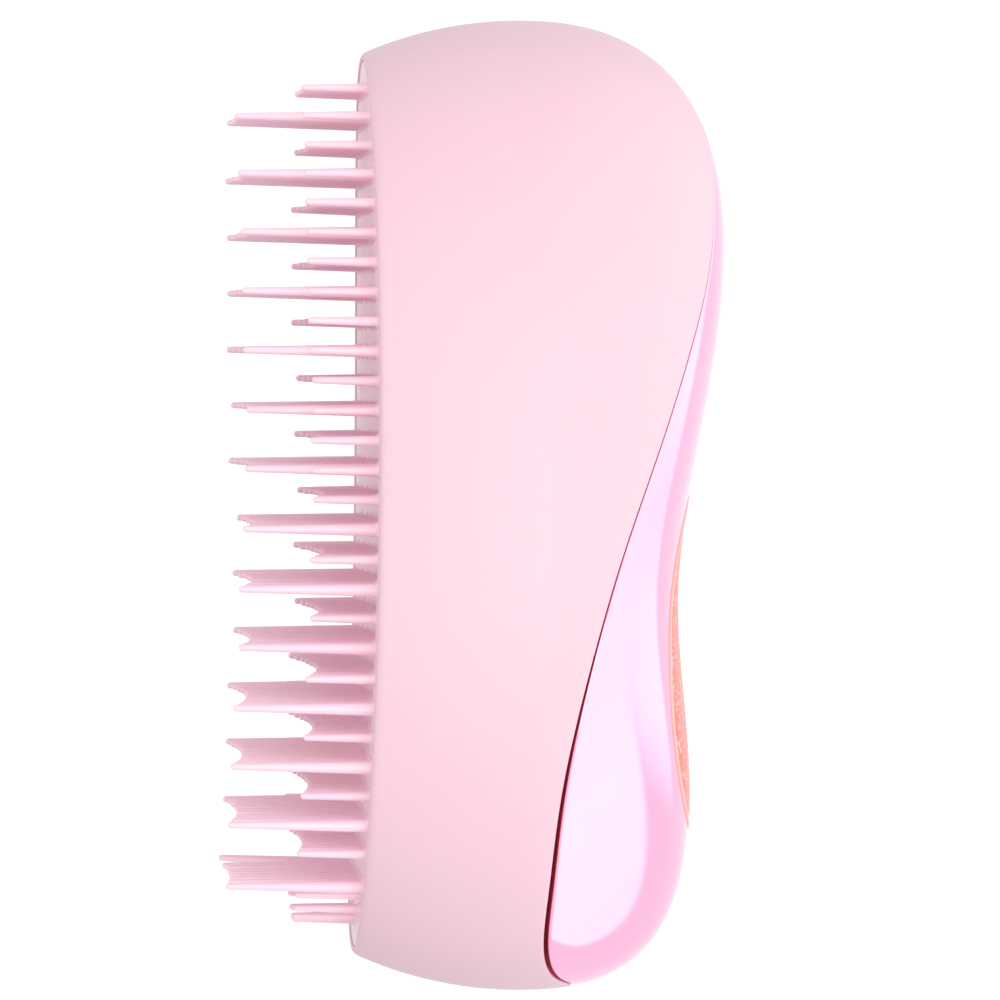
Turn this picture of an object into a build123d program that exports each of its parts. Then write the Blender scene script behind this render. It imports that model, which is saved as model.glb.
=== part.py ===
from build123d import *
import os
from math import cos, pi, sin, sqrt

os.makedirs("parts", exist_ok=True)

# A palm-held detangling hair brush, standing on the tips of its long teeth.
# X runs along the brush, from its full head (-X) to its low heel (+X), Y across it, and Z up
# from the tooth tips to the back. The origin is on the ground, under the middle of the brush.

# ---------------------------------------------------------------- driving dimensions, mm
length = 90.0
width = 67.0
widest_level = 27.0  # height of the widest outline above the tooth tips
plan_power = 2.3  # superellipse power of the outline seen from above
head_power = 2.38  # superellipse power of the side profile, head end
heel_power = 2.75  # the same, heel end
waist_rise = 14.85  # the back above the widest level, at its waist
waist_x = 8.0
flare_rise = 2.34  # the back rises from its waist along a hyperbola of these two sizes
flare_length = 9.0
belly_depth = 40.0  # depth of the ellipse that the sides follow below the widest level
sections = 20

wall = 2.8  # body wall, with the panel's recess taken out of it
panel_thickness = 1.6
seam_gap = 0.25
pad_proud = 0.35
pad_depth = 0.9
pad_x = 18.0  # where the egg-shaped pad is widest
pad_width = 31.2
pad_heel_length = 12.0  # from its widest place to either end
pad_head_length = 19.5

rim_middle_z = 13.05  # the rim's height at mid length, and at the ends
rim_end_z = 12.15
rim_half_length = 41.0
mouth_inset = 3.9  # from the widest outline to the opening that takes the tooth bed
ledge_z = 20.0  # shelf inside the body that the carrier snaps over

dish_z = 14.5  # the bed's underside at its centre
dish_radius_x = 242.0
dish_radius_y = 195.0
bed_recess = 0.45  # the bed's flat border lies this far inside the rim
bed_thickness = 1.2
carrier_top_z = 18.5
carrier_width = 6.0
tab_width = 7.0
tab_spacing = 24.0
tab_thickness = 1.7
hook_reach = 0.4
hook_height = 1.9
fit_gap = 0.1

tooth_length = 12.0  # a long tooth in the middle, and its tips' surface, flatter than the dish
tip_radius_x = 320.0
tip_radius_y = 195.0
long_root_radius = 0.62
long_tip_radius = 0.3
short_tooth_length = 5.7
short_root_radius = 0.48
short_tip_radius = 0.3
root_allowance = 1.0  # each tooth is made this much too long, then cut off at the bed
long_rows = 14
row_pitch = 5.35
row_centre_x = -0.8
tooth_pitch = 4.0
heel_row_shift = 0.6  # the last long row stands this much nearer the heel
last_row_x = 38.6  # the last short row is an arc that follows the heel
last_row_radius = 31.0
field_half_length = 40.5  # outline of the field of teeth
field_half_width = 27.5
field_power = 2.6

# The panel's seam as seen from the side, from its point on the back round to the heel, as
# (x, z) on the body's surface. Its two ends lie on the middle line.
seam_tip_x = -37.0
seam_side_view = [
    (-31, 44.3), (-24, 44.0), (-15, 41.8), (-5, 38.4), (5, 34.8), (15, 32.0),
    (25, 30.1), (34, 29.4), (39.5, 29.3), (42, 29.9), (43.3, 30.9), (44.1, 32.3),
]
seam_heel = (44.45, 33.0)
seam_apex = Vector(6, 0, 20)  # the seam's edge faces all point at this place inside
cutter_reach = 3  # the seam's cutter is this much larger than the seam itself

panel_pins = [(-20, 0), (2, -14), (2, 14), (34, -12), (34, 12)]
pin_radius = 1.5
pin_length = 4.6


# ---------------------------------------------------------------- the brush's outer form
def section_sizes(x, inset=0.0):
    """Half width, rise above and drop below the widest level of the form's section at x."""
    reach = abs(x) / (length / 2 - inset)
    side_power = head_power if x < 0 else heel_power
    crown = waist_rise + flare_rise * (sqrt(1 + ((x - waist_x) / flare_length) ** 2) - 1)
    half_width = (width / 2 - inset) * (1 - reach**plan_power) ** (1 / plan_power)
    rise = (crown - inset) * (1 - reach**side_power) ** (1 / side_power)
    drop = (belly_depth - inset) * sqrt(1 - reach**2)
    return half_width, rise, drop


def back_height(x, y):
    """Height of the outer form's upper surface."""
    half_width, rise, _ = section_sizes(x)
    return widest_level + rise * sqrt(1 - (y / half_width) ** 2)


def body_form(inset):
    """The whole outer form, shrunk by inset: elliptical sections lofted from end to end."""
    half_length = length / 2 - inset
    section_faces = []
    for i in range(1, sections):
        x = -half_length * cos(pi * i / sections)
        half_width, rise, drop = section_sizes(x, inset)
        with BuildSketch(Plane.YZ.offset(x)) as section:
            with BuildLine():
                EllipticalCenterArc((0, widest_level), half_width, rise, 0, arc_size=180)
                EllipticalCenterArc((0, widest_level), half_width, drop, 180, arc_size=180)
            make_face()
        section_faces.append(section.sketch.face())
    head = Vertex(-half_length, 0, widest_level)
    heel = Vertex(half_length, 0, widest_level)
    with BuildPart() as form:
        loft([head, *section_faces, heel])
    return form.part


def outline_prism(inset, bottom, top):
    """An upright prism whose outline is the brush's plan outline, shrunk by inset."""
    spline_points = 48
    half_length = length / 2 - inset
    half_width = width / 2 - inset
    points = []
    for i in range(spline_points):
        angle = 2 * pi * i / spline_points
        reach = (abs(cos(angle)) ** plan_power + abs(sin(angle)) ** plan_power) ** (-1 / plan_power)
        points.append((half_length * reach * cos(angle), half_width * reach * sin(angle)))
    with BuildPart() as prism:
        with BuildSketch(Plane.XY.offset(bottom)):
            with BuildLine():
                Spline(points, periodic=True)
            make_face()
        extrude(amount=top - bottom)
    return prism.part


# ---------------------------------------------------------------- the panel's seam
def seam_points(side, grow):
    """Half of the seam on the outer form, on one side of the middle, moved outwards by grow."""
    points = [Vector(seam_tip_x, 0, back_height(seam_tip_x, 0))]
    for x, z in seam_side_view:
        half_width, rise, _ = section_sizes(x)
        y = half_width * sqrt(1 - ((z - widest_level) / rise) ** 2)
        points.append(Vector(x, side * y, z))
    points.append(Vector(seam_heel[0], 0, seam_heel[1]))
    over_tip, over_heel = [Vector(p.X, -p.Y, p.Z) for p in (points[1], points[-2])]
    neighbours = [over_tip, *points, over_heel]
    grown = []
    for before, point, after in zip(neighbours, points, neighbours[2:]):
        outward = (after - before).cross(point - seam_apex).normalized()
        grown.append(point - outward * side * grow)
    return grown


def seam_cutter(grow):
    """A double cone that holds the panel: from the apex out through the seam, then closed above."""
    halves = []
    for side in (-1, 1):
        points = [seam_apex + (p - seam_apex) * cutter_reach for p in seam_points(side, grow)]
        start = (points[1] - points[0]).normalized()
        halves.append(Edge.make_spline(points, tangents=[start, Vector(0, -side, 0)]))
    far_above = Vertex(seam_apex.X, 0, cutter_reach * length)
    return Solid.make_loft([Vertex(*seam_apex), Wire(halves), far_above], ruled=True)


def pad_area(grow):
    """The pad's egg-shaped outline, grown: two half ellipses that meet where it is widest."""
    half_width = pad_width / 2 + grow
    with BuildSketch(Plane.XY.offset(widest_level)) as area:
        with BuildLine():
            EllipticalCenterArc((pad_x, 0), pad_heel_length + grow, half_width, -90, arc_size=180)
            EllipticalCenterArc((pad_x, 0), pad_head_length + grow, half_width, 90, arc_size=180)
        make_face()
    return area.sketch


# ---------------------------------------------------------------- the rim and the dish
rim_sag = rim_middle_z - rim_end_z
rim_radius = (rim_half_length**2 + rim_sag**2) / (2 * rim_sag)
tool_half = 50.0
tool_bottom = -60.0


def below_arc(plane, top, radius):
    """The area under a shallow arc, as a face on the plane; its highest point is at top."""
    drop = radius - sqrt(radius**2 - tool_half**2)
    left = (-tool_half, top - drop)
    right = (tool_half, top - drop)
    with BuildSketch(plane) as area:
        with BuildLine():
            ThreePointArc(left, (0, top), right)
            Polyline(right, (tool_half, tool_bottom), (-tool_half, tool_bottom), left)
        make_face()
    return area.sketch


def rim_space(lift):
    """All the space below the rim, which is hollow lengthways and straight across."""
    with BuildPart() as space:
        extrude(below_arc(Plane.XZ, rim_middle_z + lift, rim_radius), amount=tool_half, both=True)
    return space.part


def dish_space(lift):
    """All the space below the dish, the doubly curved surface that the teeth stand on."""
    half_turn = 14.0
    axis = Axis((0, 0, dish_z + lift - dish_radius_x), (0, 1, 0))
    section = below_arc(Plane.YZ, dish_z + lift, dish_radius_y).rotate(axis, -half_turn)
    with BuildPart() as space:
        revolve(section, axis=axis, revolution_arc=2 * half_turn)
    return space.part


def bed_surface(x, y):
    """Height and upward normal of the bed's underside: the dish, or the border if that is higher."""
    across = dish_radius_y - sqrt(dish_radius_y**2 - y**2)
    dish = dish_z - dish_radius_x + sqrt((dish_radius_x - across) ** 2 - x**2)
    border = rim_middle_z + bed_recess - rim_radius + sqrt(rim_radius**2 - x**2)
    if dish > border:
        return dish, (x / dish_radius_x, y / dish_radius_y, 1)
    return border, (x / rim_radius, 0, 1)


# Shapes that several pieces share
outer_form = body_form(0)
recess_form = body_form(panel_thickness)
cavity_form = body_form(wall)
pad_top_form = body_form(-pad_proud)
pad_floor_form = body_form(pad_depth)
mouth_prism = outline_prism(mouth_inset, 0, ledge_z)
bed_prism = outline_prism(mouth_inset + fit_gap, 0, ledge_z)
ring_hole = outline_prism(mouth_inset + carrier_width, 0, ledge_z)
below_rim = rim_space(0)
below_border = rim_space(bed_recess)
below_dish = dish_space(0)
border_under_carrier = rim_space(bed_recess + bed_thickness)
dish_under_carrier = dish_space(bed_thickness)
recess_cutter = seam_cutter(seam_gap)
panel_cutter = seam_cutter(0)

# ---------------------------------------------------------------- body shell
with BuildPart() as panel_recess:
    add(outer_form)
    add(recess_form, mode=Mode.SUBTRACT)
    add(recess_cutter, mode=Mode.INTERSECT)

with BuildPart() as cavity:
    add(cavity_form)
    with Locations((0, 0, ledge_z)):
        Box(length, width, length, align=(Align.CENTER, Align.CENTER, Align.MIN), mode=Mode.INTERSECT)
    add(mouth_prism)

with BuildPart() as body_shell:
    add(outer_form)
    add(cavity.part, mode=Mode.SUBTRACT)
    add(below_rim, mode=Mode.SUBTRACT)
    add(panel_recess.part, mode=Mode.SUBTRACT)
    for x, y in panel_pins:
        with Locations((x, y, back_height(x, y) - pin_length)):
            Cylinder(pin_radius + fit_gap, 2 * pin_length, mode=Mode.SUBTRACT)
body_shell.part.label = "body_shell"
export_step(body_shell.part, "parts/body_shell.step")

# ---------------------------------------------------------------- back panel, with its pins
with BuildPart() as pad_pocket:
    extrude(pad_area(fit_gap), amount=length)
    add(pad_floor_form, mode=Mode.SUBTRACT)

with BuildPart() as back_panel:
    add(outer_form)
    add(recess_form, mode=Mode.SUBTRACT)
    add(panel_cutter, mode=Mode.INTERSECT)
    add(pad_pocket.part, mode=Mode.SUBTRACT)
    for x, y in panel_pins:
        with Locations((x, y, back_height(x, y) - panel_thickness / 2)):
            Cylinder(pin_radius, pin_length, align=(Align.CENTER, Align.CENTER, Align.MAX))
back_panel.part.label = "back_panel"
export_step(back_panel.part, "parts/back_panel.step")

# ---------------------------------------------------------------- grip pad
with BuildPart() as grip_pad:
    extrude(pad_area(0), amount=length)
    add(pad_top_form, mode=Mode.INTERSECT)
    add(pad_floor_form, mode=Mode.SUBTRACT)
grip_pad.part.label = "grip_pad"
export_step(grip_pad.part, "parts/grip_pad.step")

# ---------------------------------------------------------------- tooth bed
with BuildPart() as above_bed:
    add(bed_prism)
    add(border_under_carrier, mode=Mode.SUBTRACT)
    add(dish_under_carrier, mode=Mode.SUBTRACT)

with BuildPart() as tooth_bed:
    add(bed_prism)
    add(below_border, mode=Mode.SUBTRACT)
    add(below_dish, mode=Mode.SUBTRACT)
    add(above_bed.part, mode=Mode.SUBTRACT)
tooth_bed.part.label = "tooth_bed"
export_step(tooth_bed.part, "parts/tooth_bed.step")

# ---------------------------------------------------------------- tooth carrier, with its snap tabs
hook_bottom_z = ledge_z + fit_gap
hook_top_z = hook_bottom_z + hook_height
tab_outside = outline_prism(mouth_inset + fit_gap, carrier_top_z, hook_top_z)
tab_inside = outline_prism(mouth_inset + tab_thickness, carrier_top_z, hook_top_z)
hook_outside = outline_prism(mouth_inset - hook_reach, hook_bottom_z, hook_top_z)

with BuildPart() as snap_tabs:
    add(tab_outside)
    add(hook_outside)
    add(tab_inside, mode=Mode.SUBTRACT)
    with GridLocations(tab_spacing, width, 3, 2):
        Box(tab_width, width, 4 * ledge_z, mode=Mode.INTERSECT)

with BuildPart() as tooth_carrier:
    add(above_bed.part)
    add(ring_hole, mode=Mode.SUBTRACT)
    with Locations((0, 0, carrier_top_z)):
        Box(length, width, length, align=(Align.CENTER, Align.CENTER, Align.MIN), mode=Mode.SUBTRACT)
    add(snap_tabs.part)
tooth_carrier.part.label = "tooth_carrier"
export_step(tooth_carrier.part, "parts/tooth_carrier.step")


# ---------------------------------------------------------------- rows of teeth
def tip_height(x, y):
    """The long teeth end on a shallow double curve, and never below ground."""
    sag = x**2 / (2 * tip_radius_x) + y**2 / (2 * tip_radius_y)
    return max(0.0, dish_z - tooth_length - sag)


def tooth_places(x, staggered):
    """Places across one row, a pitch apart, moved half a pitch in every other row."""
    half_width = field_half_width * (1 - abs(x / field_half_length) ** field_power) ** (1 / field_power)
    first = tooth_pitch / 2 if staggered else 0.0
    count = int((half_width - first) / tooth_pitch) + 1
    places = [first + i * tooth_pitch for i in range(count)]
    return sorted({-y for y in places} | set(places))


def tooth(x, y, tip_z, root_radius, tip_radius, tooth_height):
    """A tapered tooth with a round tip, cut off where it meets the bed."""
    bed_z, bed_normal = bed_surface(x, y)
    with BuildPart() as one_tooth:
        with Locations((x, y, tip_z + tip_radius)):
            Cone(tip_radius, root_radius, tooth_height, align=(Align.CENTER, Align.CENTER, Align.MIN))
            Sphere(tip_radius)
        split(bisect_by=Plane(origin=(x, y, bed_z), z_dir=bed_normal), keep=Keep.BOTTOM)
    return one_tooth.part


short_rise = tooth_length - short_tooth_length
long_cone = tooth_length + root_allowance
short_cone = short_tooth_length + root_allowance
first_long_x = row_centre_x - row_pitch * (long_rows - 1) / 2

for i in range(long_rows):
    last_row = i == long_rows - 1
    x = first_long_x + i * row_pitch + (heel_row_shift if last_row else 0)
    places = tooth_places(x, i % 2 == 0)
    # In every row but the last, the tooth at one end is a short one: on one side in the head's
    # half of the brush and on the other in the heel's.
    short_place = places[0] if x < 0 else places[-1]
    teeth = []
    for y in places:
        tip_z = tip_height(x, y)
        if y == short_place and not last_row:
            tip_z += short_rise
        teeth.append(tooth(x, y, tip_z, long_root_radius, long_tip_radius, long_cone))
    with BuildPart() as long_row:
        add(teeth)
    name = f"long_tooth_row_{i + 1:02d}"
    long_row.part.label = name
    export_step(long_row.part, f"parts/{name}.step")

for i in range(long_rows + 1):
    x = first_long_x + (i - 0.5) * row_pitch
    teeth = []
    for y in tooth_places(x, i % 2 == 0):
        tooth_x = last_row_x - y**2 / (2 * last_row_radius) if i == long_rows else x
        tip_z = tip_height(tooth_x, y) + short_rise
        teeth.append(tooth(tooth_x, y, tip_z, short_root_radius, short_tip_radius, short_cone))
    with BuildPart() as short_row:
        add(teeth)
    name = f"short_tooth_row_{i + 1:02d}"
    short_row.part.label = name
    export_step(short_row.part, f"parts/{name}.step")
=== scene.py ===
"""Looks of a palm-held detangling hair brush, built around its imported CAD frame.

The brush stands on the tips of its long teeth. X runs along it from the full head (-X) to the low
heel (+X), Y across it and Z up to its back. Lengths are in millimetres until a mesh is made.
"""

import random
from math import cos, pi, radians, sin, sqrt

import bpy
import numpy as np
from mathutils import Matrix, Vector


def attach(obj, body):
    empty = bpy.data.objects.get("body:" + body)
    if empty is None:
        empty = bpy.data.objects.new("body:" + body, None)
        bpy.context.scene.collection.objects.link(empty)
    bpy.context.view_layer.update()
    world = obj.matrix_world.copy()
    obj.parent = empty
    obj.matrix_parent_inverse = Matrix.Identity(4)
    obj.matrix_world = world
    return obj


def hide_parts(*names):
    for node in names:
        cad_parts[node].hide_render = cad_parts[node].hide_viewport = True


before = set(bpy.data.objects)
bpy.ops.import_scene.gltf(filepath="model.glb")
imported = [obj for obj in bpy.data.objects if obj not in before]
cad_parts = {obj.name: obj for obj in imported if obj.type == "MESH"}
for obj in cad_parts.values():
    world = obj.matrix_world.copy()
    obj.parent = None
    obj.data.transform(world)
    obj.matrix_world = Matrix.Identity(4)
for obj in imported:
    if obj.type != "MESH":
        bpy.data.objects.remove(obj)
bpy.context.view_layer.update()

MM = 0.001
random.seed(7)

# ---------------------------------------------------------------- the outer form, as in the CAD
LENGTH = 90.0
WIDTH = 67.0
WIDEST_Z = 27.0
PLAN_POWER = 2.3
HEAD_POWER = 2.38
HEEL_POWER = 2.75
WAIST_RISE = 14.85
WAIST_X = 8.0
FLARE_RISE = 2.34
FLARE_LENGTH = 9.0
BELLY_DEPTH = 40.0
APEX = np.array([6.0, 0.0, 20.0])  # every edge of the panel faces this place inside

RIM_MIDDLE_Z = 13.05
RIM_END_Z = 12.15
RIM_HALF_LENGTH = 41.0
BED_RECESS = 0.2
MOUTH_INSET = 3.9
DISH_Z = 14.5
DISH_RADIUS_X = 242.0
DISH_RADIUS_Y = 195.0

SEAM_TIP_X = -37.0
SEAM_SIDE_VIEW = [
    (-31, 44.3), (-24, 44.0), (-15, 41.8), (-5, 38.4), (5, 34.8), (15, 32.0),
    (25, 30.1), (34, 29.4), (39.5, 29.3), (42, 29.9), (43.3, 30.9), (44.1, 32.3),
]
SEAM_HEEL = (44.45, 33.0)
PANEL_THICKNESS = 1.6
WALL = 2.8
LEDGE_Z = 20.0  # the mouth widens a little here, above the bed

AROUND = 480
ANGLES = -pi + 2 * pi * np.arange(AROUND) / AROUND  # round the upright axis through the apex

PAD_X = 18.0
PAD_HEEL_LENGTH = 12.0
PAD_HEAD_LENGTH = 19.5
PAD_HALF_WIDTH = 15.6
PAD_DEPTH = 0.9


def section_sizes(x):
    """Half width, rise above and drop below the widest level of the form's section at x."""
    reach = np.clip(np.abs(x) / (LENGTH / 2), 0, 1)
    power = np.where(x < 0, HEAD_POWER, HEEL_POWER)
    crown = WAIST_RISE + FLARE_RISE * (np.sqrt(1 + ((x - WAIST_X) / FLARE_LENGTH) ** 2) - 1)
    half_width = WIDTH / 2 * (1 - reach**PLAN_POWER) ** (1 / PLAN_POWER)
    rise = crown * (1 - reach**power) ** (1 / power)
    drop = BELLY_DEPTH * np.sqrt(1 - reach**2)
    return half_width, rise, drop


def inside_form(points):
    """Whether each point lies inside the outer form."""
    x, y, z = points[..., 0], points[..., 1], points[..., 2]
    half_width, rise, drop = section_sizes(x)
    height = z - WIDEST_Z
    tall = np.maximum(np.where(height > 0, rise, drop), 1e-9)
    wide = np.maximum(half_width, 1e-9)
    return (np.abs(x) < LENGTH / 2) & ((y / wide) ** 2 + (height / tall) ** 2 < 1)


def outermost(shape, inside):
    """The largest reaches at which inside(reach) still holds, found by halving."""
    near = np.zeros(shape)
    far = np.full(shape, LENGTH)
    for _ in range(48):
        middle = (near + far) / 2
        within = inside(middle)
        near = np.where(within, middle, near)
        far = np.where(within, far, middle)
    return near


def on_form(directions):
    """Where rays from the apex in these directions leave the outer form."""
    unit = directions / np.linalg.norm(directions, axis=-1, keepdims=True)
    reach = outermost(unit.shape[:-1], lambda away: inside_form(APEX + unit * away[..., None]))
    return APEX + unit * reach[..., None]


def form_normals(points):
    """Outward normals of the outer form at points on it, from two short steps along the surface."""
    step = 0.02
    radial = points - APEX
    radial /= np.linalg.norm(radial, axis=-1, keepdims=True)
    side = np.cross(radial, [0.3, 0.2, 1.0])
    side /= np.linalg.norm(side, axis=-1, keepdims=True)
    other = np.cross(radial, side)
    reach = np.linalg.norm(points - APEX, axis=-1, keepdims=True)
    spans = []
    for direction in (side, other):
        ahead = on_form(radial + direction * step / reach)
        behind = on_form(radial - direction * step / reach)
        spans.append(ahead - behind)
    normals = np.cross(spans[0], spans[1])
    normals /= np.linalg.norm(normals, axis=-1, keepdims=True)
    return normals * np.sign(np.sum(normals * radial, axis=-1, keepdims=True))


def back_height(x, y):
    """Height of the outer form's upper surface."""
    half_width, rise, _ = section_sizes(x)
    return WIDEST_Z + rise * np.sqrt(np.clip(1 - (y / half_width) ** 2, 0, 1))


def rim_height(x):
    """Height of the shell's lower edge, which is hollow lengthways."""
    sag = RIM_MIDDLE_Z - RIM_END_Z
    radius = (RIM_HALF_LENGTH**2 + sag**2) / (2 * sag)
    return RIM_MIDDLE_Z - radius + np.sqrt(radius**2 - x**2)


def dish_height(x, y):
    """Height of the doubly curved surface that the teeth stand on."""
    across = DISH_RADIUS_Y - np.sqrt(DISH_RADIUS_Y**2 - y**2)
    return DISH_Z - DISH_RADIUS_X + np.sqrt((DISH_RADIUS_X - across) ** 2 - x**2)


def bed_height(x, y):
    """The bed's underside: the dish, running smoothly into the flat border inside the rim."""
    blend = 0.15
    dish = dish_height(x, y)
    rim = rim_height(x) + BED_RECESS
    return (dish + rim + np.sqrt((dish - rim) ** 2 + blend**2)) / 2 - blend / 4


# ---------------------------------------------------------------- mesh helpers
def make_object(name, points, faces, material, replaced):
    """A mesh piece from points in millimetres, which rides on the brush and replaces CAD nodes."""
    mesh = bpy.data.meshes.new(name)
    mesh.from_pydata((np.asarray(points) * MM).tolist(), [], faces)
    mesh.validate()
    mesh.polygons.foreach_set("use_smooth", [True] * len(mesh.polygons))
    mesh.materials.append(material)
    mesh.update()
    piece = bpy.data.objects.new(name, mesh)
    bpy.context.scene.collection.objects.link(piece)
    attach(piece, "root")
    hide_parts(*replaced)
    return piece


def ring_surface(rings, start_pole=None, end_pole=None):
    """Points and faces of a skin through closed rings of equal length, with a pole at either end."""
    count = len(rings[0])
    points = np.concatenate(rings)
    faces = []
    for r in range(len(rings) - 1):
        low = r * count
        high = low + count
        for j in range(count):
            k = (j + 1) % count
            faces.append((low + j, low + k, high + k, high + j))
    for pole, first, flip in ((start_pole, 0, True), (end_pole, len(points) - count, False)):
        if pole is None:
            continue
        centre = len(points)
        points = np.concatenate([points, np.asarray(pole, float)[None]])
        for j in range(count):
            k = (j + 1) % count
            faces.append((first + k, first + j, centre) if flip else (first + j, first + k, centre))
    return points, faces


def joined(parts):
    """One list of points and faces out of several."""
    points, faces, base = [], [], 0
    for part_points, part_faces in parts:
        points.append(part_points)
        faces += [tuple(base + i for i in face) for face in part_faces]
        base += len(part_points)
    return np.concatenate(points), faces


def smooth_steps(count, crowding=0.0):
    """Steps from 0 to 1, both included, crowded towards the ends."""
    t = np.linspace(0, 1, count)
    return t - crowding * np.sin(2 * pi * t) / (2 * pi)


def corner_rings(before, corner, after, count=7):
    """Rings that round a corner off, as quadratic curves from before to after."""
    rings = []
    for t in np.linspace(0, 1, count):
        rings.append((1 - t) ** 2 * before + 2 * t * (1 - t) * corner + t**2 * after)
    return rings


def skin_rings(start, end, steps):
    """Rings on the outer form from one ring on it to another, both left out."""
    first = start - APEX
    last = end - APEX
    first = first / np.linalg.norm(first, axis=-1, keepdims=True)
    last = last / np.linalg.norm(last, axis=-1, keepdims=True)
    angle = np.arccos(np.clip(np.sum(first * last, axis=-1, keepdims=True), -1, 1))
    angle = np.maximum(angle, 1e-6)
    rings = []
    for t in steps[1:-1]:
        direction = (np.sin((1 - t) * angle) * first + np.sin(t * angle) * last) / np.sin(angle)
        rings.append(on_form(direction))
    return rings


# ---------------------------------------------------------------- the seam and the other outlines
SPAN_STEPS = 24  # points on the seam's curve per control point


def spline_points(control, per_span):
    """A smooth curve through the control points: natural cubic splines over their spacing."""
    control = np.asarray(control, float)
    spans = np.linalg.norm(np.diff(control, axis=0), axis=1)
    size = len(control)
    matrix = np.eye(size)
    right = np.zeros_like(control)
    for i in range(1, size - 1):
        before, after = spans[i - 1], spans[i]
        matrix[i, i - 1:i + 2] = before, 2 * (before + after), after
        right[i] = 6 * ((control[i + 1] - control[i]) / after - (control[i] - control[i - 1]) / before)
    bend = np.linalg.solve(matrix, right)
    curve = []
    for i in range(size - 1):
        for u in np.linspace(0, 1, per_span, endpoint=i == size - 2):
            h = spans[i]
            a, b = 1 - u, u
            curve.append(
                a * control[i] + b * control[i + 1]
                + h * h / 6 * ((a**3 - a) * bend[i] + (b**3 - b) * bend[i + 1])
            )
    return np.array(curve)


def seam_ring():
    """The seam all the way round, on the outer form, evenly stepped round the upright axis."""
    half = [(SEAM_TIP_X, 0.0, float(back_height(np.float64(SEAM_TIP_X), 0.0)))]
    for x, z in SEAM_SIDE_VIEW:
        half_width, rise, _ = section_sizes(np.float64(x))
        half.append((x, float(half_width * sqrt(1 - ((z - WIDEST_Z) / rise) ** 2)), z))
    half.append((SEAM_HEEL[0], 0.0, SEAM_HEEL[1]))
    mirrored = [(x, -y, z) for x, y, z in half[-2::-1]]
    over_heel = mirrored[:3]  # these make the curve cross the middle square to it
    curve = spline_points(half + over_heel, SPAN_STEPS)
    curve = curve[: SPAN_STEPS * (len(half) - 1) + 1]
    azimuth = np.arctan2(curve[:, 1], curve[:, 0] - APEX[0])
    slope = (curve[:, 2] - APEX[2]) / np.hypot(curve[:, 0] - APEX[0], curve[:, 1])
    order = np.argsort(azimuth)
    slopes = np.interp(np.abs(ANGLES), azimuth[order], slope[order])
    return on_form(np.stack([np.cos(ANGLES), np.sin(ANGLES), slopes], axis=-1))


def along(ring):
    """Unit direction along a closed ring at each of its points."""
    step = np.roll(ring, -1, axis=0) - np.roll(ring, 1, axis=0)
    return step / np.linalg.norm(step, axis=-1, keepdims=True)


def from_axis(reach):
    """x and y of the places this far from the apex's upright axis, at the shared angles."""
    return APEX[0] + reach * np.cos(ANGLES), reach * np.sin(ANGLES)


def plan_ring(inset):
    """The plan outline shrunk by inset, as x and y."""
    half_length = LENGTH / 2 - inset
    half_width = WIDTH / 2 - inset

    def inside(reach):
        """Whether the places lie inside the shrunken outline."""
        x, y = from_axis(reach)
        return np.abs(x / half_length) ** PLAN_POWER + np.abs(y / half_width) ** PLAN_POWER < 1

    return from_axis(outermost(AROUND, inside))


def rim_ring(lift):
    """Points on the outer form, lift above the rim's level."""

    def inside(reach):
        """Whether the places, at the rim's level plus lift, lie inside the outer form."""
        x, y = from_axis(reach)
        z = rim_height(np.clip(x, -LENGTH / 2, LENGTH / 2)) + lift
        return inside_form(np.stack([x, y, z], axis=-1))

    x, y = from_axis(outermost(AROUND, inside))
    return np.stack([x, y, rim_height(x) + lift], axis=-1)


def drawn_in(outline, share):
    """An outline in plan shrunk to this share of its size, about the apex's axis."""
    return APEX[0] + share * (outline[0] - APEX[0]), share * outline[1]


def lifted(xy, z):
    """A ring from x and y and its heights."""
    return np.stack([xy[0], xy[1], z + np.zeros_like(xy[0])], axis=-1)


# ---------------------------------------------------------------- materials
def new_material(name, roughness, **sockets):
    """A Principled material and its main parts: material, nodes, link function and shader."""
    material = bpy.data.materials.new(name)
    material.use_nodes = True
    nodes, links = material.node_tree.nodes, material.node_tree.links
    nodes.clear()
    output = nodes.new("ShaderNodeOutputMaterial")
    shader = nodes.new("ShaderNodeBsdfPrincipled")
    links.new(shader.outputs["BSDF"], output.inputs["Surface"])
    shader.inputs["Roughness"].default_value = roughness
    for socket, value in sockets.items():
        shader.inputs[socket.replace("_", " ")].default_value = value
    return material, nodes, links, shader


def object_coordinates(nodes):
    """The surface's own place on the brush, for procedural patterns."""
    return nodes.new("ShaderNodeTexCoord").outputs["Object"]


def noise(nodes, links, place, scale, detail=3.0):
    """A noise pattern with about this many features per metre."""
    texture = nodes.new("ShaderNodeTexNoise")
    texture.inputs["Scale"].default_value = scale
    texture.inputs["Detail"].default_value = detail
    links.new(place, texture.inputs["Vector"])
    return texture.outputs["Fac"]


def blended(nodes, links, factor, low, high, start=0.3, end=0.7):
    """A colour that runs from low to high as the factor goes from start to end."""
    ramp = nodes.new("ShaderNodeValToRGB")
    ramp.color_ramp.elements[0].position = start
    ramp.color_ramp.elements[0].color = (*low, 1)
    ramp.color_ramp.elements[1].position = end
    ramp.color_ramp.elements[1].color = (*high, 1)
    links.new(factor, ramp.inputs["Fac"])
    return ramp.outputs["Color"]


def mapped(nodes, links, value, low, high):
    """A value between 0 and 1 stretched to run from low to high."""
    stretch = nodes.new("ShaderNodeMapRange")
    stretch.inputs["To Min"].default_value = low
    stretch.inputs["To Max"].default_value = high
    links.new(value, stretch.inputs["Value"])
    return stretch.outputs["Result"]


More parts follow.
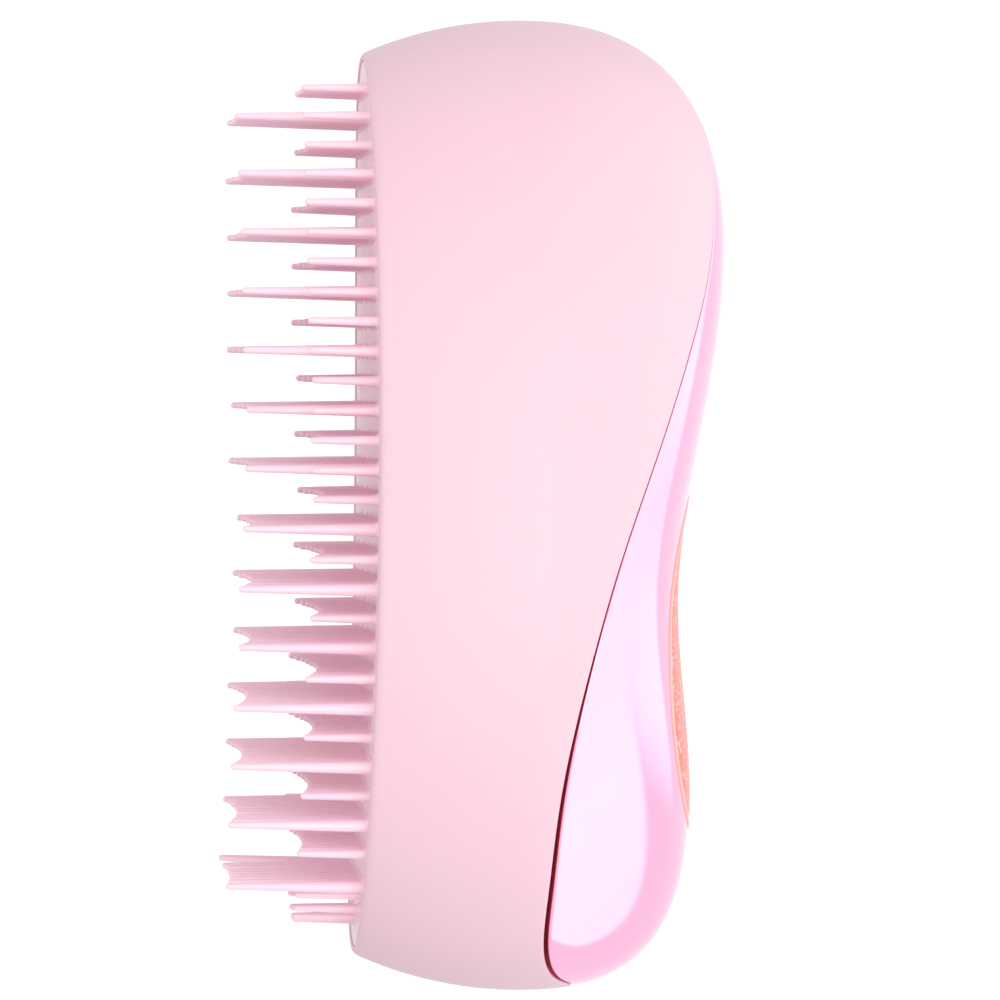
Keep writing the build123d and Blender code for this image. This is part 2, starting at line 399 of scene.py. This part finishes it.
def bumped(nodes, links, shader, height, depth, strength=1.0):
    """Gives the shader a bump of this depth in metres."""
    bump = nodes.new("ShaderNodeBump")
    bump.inputs["Distance"].default_value = depth
    bump.inputs["Strength"].default_value = strength
    links.new(height, bump.inputs["Height"])
    links.new(bump.outputs["Normal"], shader.inputs["Normal"])


def moulded_plastic(name, tint, shade, roughness, grain, depth, **sockets):
    """Satin moulded plastic: faint cloudiness of colour, a fine grain and an uneven sheen."""
    material, nodes, links, shader = new_material(name, roughness, **sockets)
    place = object_coordinates(nodes)
    cloud = noise(nodes, links, place, 45.0)
    links.new(blended(nodes, links, cloud, shade, tint), shader.inputs["Base Color"])
    fine = noise(nodes, links, place, grain, 2.0)
    links.new(mapped(nodes, links, fine, roughness - 0.05, roughness + 0.05), shader.inputs["Roughness"])
    bumped(nodes, links, shader, fine, depth)
    return material


shell_material = moulded_plastic(
    "shell_plastic", (0.775, 0.528, 0.600), (0.765, 0.518, 0.590), 0.46, 9000.0, 0.000004,
    Subsurface_Weight=0.08, Subsurface_Scale=0.002, Specular_IOR_Level=0.4,
)
tooth_material = moulded_plastic(
    "tooth_plastic", (0.91, 0.63, 0.725), (0.90, 0.615, 0.71), 0.34, 7000.0, 0.000003,
    Subsurface_Weight=0.15, Subsurface_Scale=0.001, Subsurface_Radius=(1.0, 0.8, 0.85),
    Specular_IOR_Level=0.5,
)
bed_material = moulded_plastic(
    "bed_plastic", (0.96, 0.76, 0.835), (0.93, 0.70, 0.785), 0.42, 8000.0, 0.000004,
    Subsurface_Weight=0.15, Subsurface_Scale=0.001, Subsurface_Radius=(1.0, 0.8, 0.85),
    Specular_IOR_Level=0.4,
)


def pink_chrome():
    """Vacuum-metallised plastic under a tinted lacquer: sharp, with a faint ripple of the moulding."""
    material, nodes, links, shader = new_material("panel_chrome", 0.07, Metallic=1.0)
    shader.inputs["Specular Tint"].default_value = (1.0, 0.84, 0.92, 1.0)
    place = object_coordinates(nodes)
    haze = noise(nodes, links, place, 60.0)
    links.new(
        blended(nodes, links, haze, (1.0, 0.47, 0.68), (1.0, 0.50, 0.705)),
        shader.inputs["Base Color"],
    )
    polish = noise(nodes, links, place, 350.0, 4.0)
    links.new(mapped(nodes, links, polish, 0.05, 0.09), shader.inputs["Roughness"])
    bumped(nodes, links, shader, noise(nodes, links, place, 120.0, 1.0), 0.000012)
    return material


def coral_glitter():
    """Glossy coral resin with fine lilac and gold flakes lying in it at odd tilts."""
    material, nodes, links, shader = new_material(
        "pad_glitter", 0.3, Coat_Weight=0.08, Coat_Roughness=0.06, Specular_IOR_Level=0.15
    )
    place = object_coordinates(nodes)
    flakes = nodes.new("ShaderNodeTexVoronoi")
    flakes.inputs["Scale"].default_value = 4200.0
    links.new(place, flakes.inputs["Vector"])
    pick = nodes.new("ShaderNodeSeparateColor")
    links.new(flakes.outputs["Color"], pick.inputs["Color"])
    cloud = noise(nodes, links, place, 180.0)
    resin = blended(nodes, links, cloud, (0.74, 0.11, 0.065), (0.80, 0.15, 0.095))
    flake_tint = blended(
        nodes, links, pick.outputs["Green"], (0.95, 0.36, 0.24), (0.85, 0.45, 0.70), 0.35, 0.65
    )
    shown = nodes.new("ShaderNodeMath")
    shown.operation = "GREATER_THAN"
    shown.inputs[1].default_value = 0.82
    links.new(pick.outputs["Red"], shown.inputs[0])
    mix = nodes.new("ShaderNodeMix")
    mix.data_type = "RGBA"
    links.new(shown.outputs["Value"], mix.inputs["Factor"])
    links.new(resin, mix.inputs["A"])
    links.new(flake_tint, mix.inputs["B"])
    links.new(mix.outputs["Result"], shader.inputs["Base Color"])
    links.new(mapped(nodes, links, shown.outputs["Value"], 0.0, 0.75), shader.inputs["Metallic"])
    bumped(nodes, links, shader, pick.outputs["Blue"], 0.00003, 0.6)
    return material


def pad_rim():
    """The plain lighter bead round the pad."""
    material, nodes, links, shader = new_material("pad_rim", 0.3, Specular_IOR_Level=0.2)
    place = object_coordinates(nodes)
    cloud = noise(nodes, links, place, 300.0)
    links.new(
        blended(nodes, links, cloud, (0.91, 0.44, 0.37), (0.93, 0.48, 0.41)),
        shader.inputs["Base Color"],
    )
    bumped(nodes, links, shader, noise(nodes, links, place, 2500.0), 0.000004)
    return material


chrome_material = pink_chrome()
glitter_material = coral_glitter()
rim_material = pad_rim()
carrier_material = moulded_plastic(
    "carrier_plastic", (0.80, 0.70, 0.72), (0.77, 0.67, 0.69), 0.5, 5000.0, 0.000004
)
# Painted shade and reflection: a deep rose for the recess's wall and floor, seen only through the seam's
# gap. It stands in for the shadow there and the chrome edge's dark reflection; the shell is really the
# same pink here.
painted_seam_shade_material = moulded_plastic(
    "painted_seam_shade", (0.66, 0.09, 0.13), (0.60, 0.08, 0.12), 0.5, 5000.0, 0.000004
)
for slot_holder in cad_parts["tooth_carrier"].material_slots:
    slot_holder.material = carrier_material

# ---------------------------------------------------------------- rings shared by shell and panel
EDGE_ROUND = 0.25
FLOOR_GAP = 0.05  # between parts that lie on each other
HEAD_SEAM_GAP = 0.11
SEAM_GAP_GROWTH = 0.29  # from the head to the heel
SEAM_OPENS_X = 20.0
SEAM_OPENS_OVER = 6.0

seam = seam_ring()
seam_opening = 1 + np.exp(-(seam[:, :1] - SEAM_OPENS_X) / SEAM_OPENS_OVER)
seam_gap = HEAD_SEAM_GAP + SEAM_GAP_GROWTH / seam_opening


def away_from_apex(points):
    """Unit directions from the apex to these points."""
    radial = points - APEX
    return radial / np.linalg.norm(radial, axis=-1, keepdims=True)


def beside_seam(distance):
    """The seam moved over the surface by a distance, outwards from the panel if positive."""
    radial = away_from_apex(seam)
    sideways = np.cross(along(seam), radial)
    sideways *= np.sign(np.sum(sideways * (seam - seam.mean(axis=0)), axis=-1, keepdims=True))
    return on_form(seam + sideways * distance - APEX)


def sunk(points, depth):
    """Points on the form moved inwards by a depth, along the lines to the apex."""
    radial = away_from_apex(points)
    steepness = np.sum(form_normals(points) * radial, axis=-1, keepdims=True)
    return points - radial * depth / np.maximum(steepness, 0.3)


def dome_rings(start, depth, steps):
    """Rings from near start up to the pole above the apex, at a depth below the form."""
    top = on_form(np.array([[0.0, 0.0, 1.0]]))[0]
    rings = skin_rings(start, np.tile(top, (AROUND, 1)), steps)
    return [sunk(ring, depth) for ring in rings], top - np.array([0, 0, depth])


# ---------------------------------------------------------------- body shell
RECESS_DEPTH = PANEL_THICKNESS + FLOOR_GAP
RIM_ROUND = 0.6
RIM_ROUND_START = 0.8
MOUTH_ROUND = 0.3
MOUTH_ROUND_HEIGHT = 0.15
LEDGE_WIDTH = 0.45

shell_edge = beside_seam(seam_gap)
floor_rings, floor_pole = dome_rings(shell_edge, RECESS_DEPTH, smooth_steps(24))
edge_before = sunk(shell_edge, EDGE_ROUND)
edge_after = beside_seam(seam_gap + EDGE_ROUND)
rim_corner = rim_ring(0.0)
rim_before = rim_ring(RIM_ROUND_START)
mouth = plan_ring(MOUTH_INSET)
mouth_corner = lifted(mouth, rim_height(mouth[0]))
# The rim narrows towards the head and the heel, and its rounded edges narrow with it.
rim_width = np.linalg.norm(mouth_corner - rim_corner, axis=-1, keepdims=True)
rim_unit = (mouth_corner - rim_corner) / rim_width
outer_round = np.minimum(RIM_ROUND, 0.5 * rim_width)
inner_round = np.minimum(MOUTH_ROUND, 0.3 * rim_width)
mouth_before = mouth_corner - rim_unit * inner_round
mouth_after = mouth_corner + np.array([0, 0, MOUTH_ROUND_HEIGHT])
ledge = plan_ring(MOUTH_INSET - LEDGE_WIDTH)
cavity_foot = on_form(lifted(ledge, LEDGE_Z) - APEX)
cavity_rings, cavity_pole = dome_rings(cavity_foot, WALL, smooth_steps(30))

shell_rings = [
    *floor_rings[::-1],
    sunk(shell_edge, RECESS_DEPTH),
    *corner_rings(edge_before, shell_edge, edge_after),
    *skin_rings(edge_after, rim_before, smooth_steps(90, 0.6)),
    *corner_rings(rim_before, rim_corner, rim_corner + rim_unit * outer_round),
    *corner_rings(mouth_before, mouth_corner, mouth_after, 5),
    lifted(mouth, LEDGE_Z),
    lifted(ledge, LEDGE_Z),
    sunk(cavity_foot, WALL),
    *cavity_rings,
]
shell_points, shell_faces = ring_surface(shell_rings[::-1], cavity_pole, floor_pole)
shell = make_object(
    "body_shell_smooth", shell_points, shell_faces, shell_material, ["body_shell"]
)
shell.data.materials.append(painted_seam_shade_material)
# The skin's last bands are the recess's wall and floor, and the faces at both poles follow them. They
# take the painted seam shade, a dark rose that stands in for the shadow in the seam's gap.
first_recess_face = (len(shell_rings) - len(floor_rings) - 2) * AROUND
for face in shell.data.polygons:
    if face.index >= first_recess_face:
        face.material_index = 1

# ---------------------------------------------------------------- back panel
POCKET_GAP = 0.08
POCKET_ROUND = 0.2
POCKET_DEPTH = PAD_DEPTH + FLOOR_GAP
UNDER_DEPTH = PANEL_THICKNESS - FLOOR_GAP


def pad_outline(grow):
    """The pad's egg-shaped outline in plan, grown, as x and y."""

    def inside(reach):
        """Whether the places lie inside the grown outline."""
        x, y = from_axis(reach)
        half_length = np.where(x - PAD_X > 0, PAD_HEEL_LENGTH, PAD_HEAD_LENGTH) + grow
        return ((x - PAD_X) / half_length) ** 2 + (y / (PAD_HALF_WIDTH + grow)) ** 2 < 1

    return from_axis(outermost(AROUND, inside))


def over_back(xy, height):
    """A ring over the back's surface at a height above it."""
    return np.stack([xy[0], xy[1], back_height(xy[0], xy[1]) + height], axis=-1)


panel_edge = beside_seam(0.0)
panel_edge_inside = beside_seam(-EDGE_ROUND)
under_rings, under_pole = dome_rings(panel_edge, UNDER_DEPTH, smooth_steps(24))
pocket = pad_outline(POCKET_GAP)
pocket_lip = over_back(pad_outline(POCKET_GAP + POCKET_ROUND), 0.0)
middle_z = float(back_height(np.float64(APEX[0]), 0.0))

panel_rings = [
    *under_rings[::-1],
    sunk(panel_edge, UNDER_DEPTH),
    *corner_rings(sunk(panel_edge, EDGE_ROUND), panel_edge, panel_edge_inside),
    *skin_rings(panel_edge_inside, pocket_lip, smooth_steps(90, 0.6)),
    *corner_rings(pocket_lip, over_back(pocket, 0.0), over_back(pocket, -POCKET_ROUND), 5),
    over_back(pocket, -POCKET_DEPTH),
    *[over_back(drawn_in(pocket, t), -POCKET_DEPTH) for t in np.linspace(1, 0, 11)[1:-1]],
]
panel_points, panel_faces = ring_surface(
    panel_rings, under_pole, (APEX[0], 0, middle_z - POCKET_DEPTH)
)
panel = make_object(
    "back_panel_smooth", panel_points, panel_faces, chrome_material, ["back_panel"]
)

# ---------------------------------------------------------------- grip pad
# Each profile runs inwards, as distance in from the pad's outline and height over the back.
BEAD_PROFILE = [
    (0.0, -0.1), (0.0, 0.04), (0.03, 0.1), (0.1, 0.15), (0.22, 0.17), (0.34, 0.15), (0.43, 0.1),
    (0.5, 0.04),
]
CROWN_INSET = 1.6
CROWN_FOOT = 0.12
CROWN_RISE = 0.1
FACE_PROFILE = [(0.56, 0.02), (0.7, 0.02), (0.95, 0.05), (CROWN_INSET, CROWN_FOOT)]
UNDER_COUNT = 8

pad_edge = pad_outline(0)
crown_edge = pad_outline(-CROWN_INSET)
pad_rings = [
    *[over_back(drawn_in(pad_edge, t), -PAD_DEPTH) for t in np.linspace(0, 0.99, UNDER_COUNT + 1)[1:]],
    over_back(pad_edge, -PAD_DEPTH + 0.1),
    *[over_back(pad_outline(-inset), height) for inset, height in BEAD_PROFILE + FACE_PROFILE],
    *[over_back(drawn_in(crown_edge, t), CROWN_FOOT + CROWN_RISE * (1 - t**2))
      for t in np.linspace(1, 0, 15)[1:-1]],
]
pad_points, pad_faces = ring_surface(
    pad_rings,
    (APEX[0], 0, middle_z - PAD_DEPTH),
    (APEX[0], 0, middle_z + CROWN_FOOT + CROWN_RISE),
)
pad = make_object(
    "grip_pad_smooth", pad_points, pad_faces, glitter_material, ["grip_pad"]
)
pad.data.materials.append(rim_material)
first_bead_face = (UNDER_COUNT + 1) * AROUND
bead_end_face = first_bead_face + len(BEAD_PROFILE) * AROUND
for face in pad.data.polygons:
    if first_bead_face <= face.index < bead_end_face:
        face.material_index = 1

# ---------------------------------------------------------------- tooth bed
BED_THICKNESS = 1.12


def bed_ring(share, lift):
    """A ring of the bed's underside, this share of the way out to the mouth, moved up by lift."""
    x, y = drawn_in(mouth, share)
    return np.stack([x, y, bed_height(x, y) + lift], axis=-1)


bed_rings = [
    *[bed_ring(t, 0.0) for t in np.linspace(0, 0.985, 46)[1:]],
    *corner_rings(bed_ring(0.997, 0.0), bed_ring(1.0, 0.0), bed_ring(1.0, 0.1), 5),
    bed_ring(1.0, BED_THICKNESS),
    *[bed_ring(t, BED_THICKNESS) for t in np.linspace(1, 0, 20)[1:-1]],
]
bed_middle = float(bed_height(np.float64(APEX[0]), np.float64(0.0)))
bed_points, bed_faces = ring_surface(
    bed_rings, (APEX[0], 0, bed_middle), (APEX[0], 0, bed_middle + BED_THICKNESS)
)
bed = make_object(
    "tooth_bed_smooth", bed_points, bed_faces, bed_material, ["tooth_bed"]
)

# ---------------------------------------------------------------- teeth
TOOTH_LENGTH = 12.0
SHORT_TOOTH_LENGTH = 5.7
ROOT_ALLOWANCE = 1.0  # a tooth's cone is this much longer than the tooth
ROOT_RADIUS = 0.62
SHORT_ROOT_RADIUS = 0.48
TIP_RADIUS = 0.3
TIP_RADIUS_X = 320.0  # of the curved surface that the tips lie on, along the brush
TIP_RADIUS_Y = 195.0
FILLET_HEIGHT = 0.55
FILLET_WIDTH = 0.28
SUNK_ROOT = 0.3
RANDOM_LEAN = 0.05
FAR_TOOTH_LEAN = -0.45  # of the far tooth in the last long row
LONG_ROWS = 14
ROW_PITCH = 5.35
ROW_CENTRE_X = -0.8
HEEL_ROW_SHIFT = 0.6  # the last long row stands this much nearer the heel
LAST_ROW_X = 38.6  # the last short row is an arc, with its middle here
LAST_ROW_RADIUS = 31.0
TOOTH_PITCH = 4.0
FIELD_HALF_LENGTH = 40.5
FIELD_HALF_WIDTH = 27.5
FIELD_POWER = 2.6
SEGMENTS = 20


def tip_height(x, y):
    """Height of the long teeth's tips."""
    sag = x**2 / (2 * TIP_RADIUS_X) + y**2 / (2 * TIP_RADIUS_Y)
    return max(0.0, DISH_Z - TOOTH_LENGTH - sag)


def tooth_places(x, staggered):
    """Places across one row, a pitch apart, moved half a pitch in every other row."""
    reach = abs(x / FIELD_HALF_LENGTH)
    half_width = FIELD_HALF_WIDTH * (1 - reach**FIELD_POWER) ** (1 / FIELD_POWER)
    first = TOOTH_PITCH / 2 if staggered else 0.0
    count = int((half_width - first) / TOOTH_PITCH) + 1
    places = [first + i * TOOTH_PITCH for i in range(count)]
    return sorted({-y for y in places} | set(places))


def tooth_skin(x, y, tip_z, root_radius, cone_height, bent=0.0):
    """A tapered tooth with a round tip and a small fillet at its root, sunk a little in the bed."""
    root_z = float(bed_height(np.float64(x), np.float64(y)))
    centre_z = tip_z + TIP_RADIUS
    taper = (root_radius - TIP_RADIUS) / cone_height
    lean_x = bent + random.uniform(-RANDOM_LEAN, RANDOM_LEAN)
    lean_y = random.uniform(-RANDOM_LEAN, RANDOM_LEAN)
    profile = [
        (TIP_RADIUS * sin(radians(a)), centre_z - TIP_RADIUS * cos(radians(a)))
        for a in (18, 36, 54, 72, 90)
    ]
    fillet_z = root_z - FILLET_HEIGHT
    free = fillet_z - centre_z
    profile += [(TIP_RADIUS + taper * free * t, centre_z + free * t) for t in (0.25, 0.5, 0.75, 1.0)]
    for t in (0.2, 0.4, 0.6, 0.8, 0.92, 1.0):
        z = fillet_z + FILLET_HEIGHT * t
        profile.append((TIP_RADIUS + taper * (z - centre_z) + FILLET_WIDTH * t**3.5, z))
    profile.append((root_radius + FILLET_WIDTH, root_z + SUNK_ROOT))
    turns = 2 * pi * np.arange(SEGMENTS) / SEGMENTS
    height = root_z - tip_z
    rings = []
    for radius, z in profile:
        lean = max(root_z - z, 0) / height
        rings.append(np.stack([
            x + lean_x * lean + radius * np.cos(turns),
            y + lean_y * lean + radius * np.sin(turns),
            np.full(SEGMENTS, z),
        ], axis=-1))
    return ring_surface(rings, (x + lean_x, y + lean_y, tip_z), (x, y, root_z + SUNK_ROOT))


def row_of_teeth(name, teeth, replaced):
    """One row of teeth as one piece."""
    points, faces = joined([tooth_skin(*tooth) for tooth in teeth])
    return make_object(name, points, faces, tooth_material, [replaced])


short_rise = TOOTH_LENGTH - SHORT_TOOTH_LENGTH
first_long_x = ROW_CENTRE_X - ROW_PITCH * (LONG_ROWS - 1) / 2
for i in range(LONG_ROWS):
    last_row = i == LONG_ROWS - 1
    row_x = first_long_x + i * ROW_PITCH + (HEEL_ROW_SHIFT if last_row else 0)
    places = tooth_places(row_x, i % 2 == 0)
    # One end tooth of each row but the last is short, as in the CAD.
    short_place = places[0] if row_x < 0 else places[-1]
    teeth = []
    for y in places:
        tip_z = tip_height(row_x, y)
        if y == short_place and not last_row:
            tip_z += short_rise
        bent = FAR_TOOTH_LEAN if last_row and y == places[-1] else 0.0
        teeth.append((row_x, y, tip_z, ROOT_RADIUS, TOOTH_LENGTH + ROOT_ALLOWANCE, bent))
    row_of_teeth(f"long_teeth_{i + 1:02d}", teeth, f"long_tooth_row_{i + 1:02d}")

for i in range(LONG_ROWS + 1):
    row_x = first_long_x + (i - 0.5) * ROW_PITCH
    teeth = []
    for y in tooth_places(row_x, i % 2 == 0):
        tooth_x = LAST_ROW_X - y**2 / (2 * LAST_ROW_RADIUS) if i == LONG_ROWS else row_x
        tip_z = tip_height(tooth_x, y) + short_rise
        teeth.append((tooth_x, y, tip_z, SHORT_ROOT_RADIUS, SHORT_TOOTH_LENGTH + ROOT_ALLOWANCE))
    row_of_teeth(f"short_teeth_{i + 1:02d}", teeth, f"short_tooth_row_{i + 1:02d}")

# ---------------------------------------------------------------- floor, light and camera
def one_sided_floor():
    """A pale matt floor under the tips, open from below, where the picture is taken from."""
    mesh = bpy.data.meshes.new("floor")
    half = 4.0  # metres, like every place and size in this section
    mesh.from_pydata(
        [(-half, -half, 0), (half, -half, 0), (half, half, 0), (-half, half, 0)], [], [(0, 1, 2, 3)]
    )
    floor = bpy.data.objects.new("floor", mesh)
    bpy.context.scene.collection.objects.link(floor)
    material, nodes, links, shader = new_material("floor_paper", 0.9, Specular_IOR_Level=0.1)
    cloud = noise(nodes, links, object_coordinates(nodes), 3.0)
    links.new(blended(nodes, links, cloud, (0.84, 0.835, 0.835), (0.86, 0.858, 0.858)),
              shader.inputs["Base Color"])
    clear = nodes.new("ShaderNodeBsdfTransparent")
    mix = nodes.new("ShaderNodeMixShader")
    side = nodes.new("ShaderNodeNewGeometry")
    output = next(node for node in nodes if node.type == "OUTPUT_MATERIAL")
    links.new(side.outputs["Backfacing"], mix.inputs["Fac"])
    links.new(shader.outputs["BSDF"], mix.inputs[1])
    links.new(clear.outputs["BSDF"], mix.inputs[2])
    links.new(mix.outputs["Shader"], output.inputs["Surface"])
    mesh.materials.append(material)
    # The light from underneath, which the picture's white surroundings give, passes through it.
    floor.visible_diffuse = False
    floor.visible_shadow = False


def soft_box(name, place, aim, size_x, size_y, radiance):
    """A rectangular soft light whose face shows this radiance."""
    light = bpy.data.lights.new(name, "AREA")
    light.shape = "RECTANGLE"
    light.size, light.size_y = size_x, size_y
    light.energy = radiance * pi * size_x * size_y
    holder = bpy.data.objects.new(name, light)
    holder.location = place
    direction = Vector(aim) - Vector(place)
    holder.rotation_euler = direction.to_track_quat("-Z", "Y").to_euler()
    holder.visible_camera = False
    bpy.context.scene.collection.objects.link(holder)
    return light


def draped_light(light):
    """Covers the overhead light softly: its back, and a wide V behind the brush, past two lines."""
    head_edge, heel_edge, heel_slope, back_edge = 0.1, 0.27, 0.4, 0.85
    fade = 0.06
    light.use_nodes = True
    nodes, links = light.node_tree.nodes, light.node_tree.links

    def open_before(value, edge):
        """1 where the value is under the edge and 0 where it is over, with a soft step."""
        step = nodes.new("ShaderNodeMapRange")
        step.interpolation_type = "SMOOTHSTEP"
        step.inputs["From Min"].default_value = edge + fade
        step.inputs["From Max"].default_value = edge - fade
        links.new(value, step.inputs["Value"])
        return step.outputs["Result"]

    def combined(operation, first, second):
        """The two values put together by a math node."""
        node = nodes.new("ShaderNodeMath")
        node.operation = operation
        links.new(first, node.inputs[0])
        links.new(second, node.inputs[1])
        return node.outputs["Value"]

    place = nodes.new("ShaderNodeNewGeometry")
    split = nodes.new("ShaderNodeSeparateXYZ")
    links.new(place.outputs["Position"], split.inputs["Vector"])
    line = nodes.new("ShaderNodeMath")
    line.operation = "MULTIPLY_ADD"
    line.inputs[1].default_value = -heel_slope
    links.new(split.outputs["X"], line.inputs[0])
    links.new(split.outputs["Y"], line.inputs[2])
    over_head = open_before(split.outputs["X"], head_edge)
    over_heel = open_before(line.outputs["Value"], heel_edge)
    in_front = open_before(split.outputs["Y"], back_edge)
    shown = combined("MULTIPLY", combined("MAXIMUM", over_head, over_heel), in_front)
    links.new(shown, nodes["Emission"].inputs["Strength"])


one_sided_floor()

# The white surroundings show and reflect at full strength, and fill the shade at less.
WHITE = 1.12
SHADE_FILL = 0.64
world = bpy.data.worlds.new("studio")
world.use_nodes = True
world_nodes, world_links = world.node_tree.nodes, world.node_tree.links
background = world_nodes["Background"]
background.inputs["Color"].default_value = (1.0, 1.0, 1.0, 1.0)
is_diffuse = world_nodes.new("ShaderNodeLightPath").outputs["Is Diffuse Ray"]
strength = mapped(world_nodes, world_links, is_diffuse, WHITE, SHADE_FILL)
world_links.new(strength, background.inputs["Strength"])
bpy.context.scene.world = world
bpy.context.scene.view_settings.view_transform = "Standard"

centre = (0.0, 0.0, 0.030)
overhead = soft_box("overhead", (0.6, 0.0, 0.63), (0.6, 0.0, 0.0), 4.8, 2.6, 0.6)
draped_light(overhead)
soft_box("front", (0.0, -1.3, 0.12), centre, 0.9, 0.9, 3.4)
soft_box("underneath", (-0.25, -0.35, -0.7), centre, 0.9, 0.9, 0.9)

# The picture is taken from the brush's side, from just below the floor's level and turned so that
# the head is at the top and the teeth point left.
CAMERA_PLACE = np.array([-0.0144, -0.725, -0.0154])
CAMERA_AIM = np.array([-0.00046, 0.0, 0.0255])
ROLL = -0.62
LENS = 281.0


def add_camera():
    """The camera, with the brush's head (-X) up in the picture."""
    ahead = Vector(CAMERA_AIM - CAMERA_PLACE).normalized()
    up = Vector((-1.0, 0.0, 0.0))
    up = (up - ahead * up.dot(ahead)).normalized()
    right = ahead.cross(up)
    turn = Matrix.Rotation(radians(ROLL), 3, ahead)
    up, right = turn @ up, turn @ right
    data = bpy.data.cameras.new("camera")
    data.lens = LENS
    data.sensor_width = 36.0
    data.clip_start = 0.01
    holder = bpy.data.objects.new("camera", data)
    axes = Matrix((right, up, -ahead)).transposed().to_4x4()
    axes.translation = Vector(CAMERA_PLACE)
    holder.matrix_world = axes
    bpy.context.scene.collection.objects.link(holder)
    bpy.context.scene.camera = holder


add_camera()

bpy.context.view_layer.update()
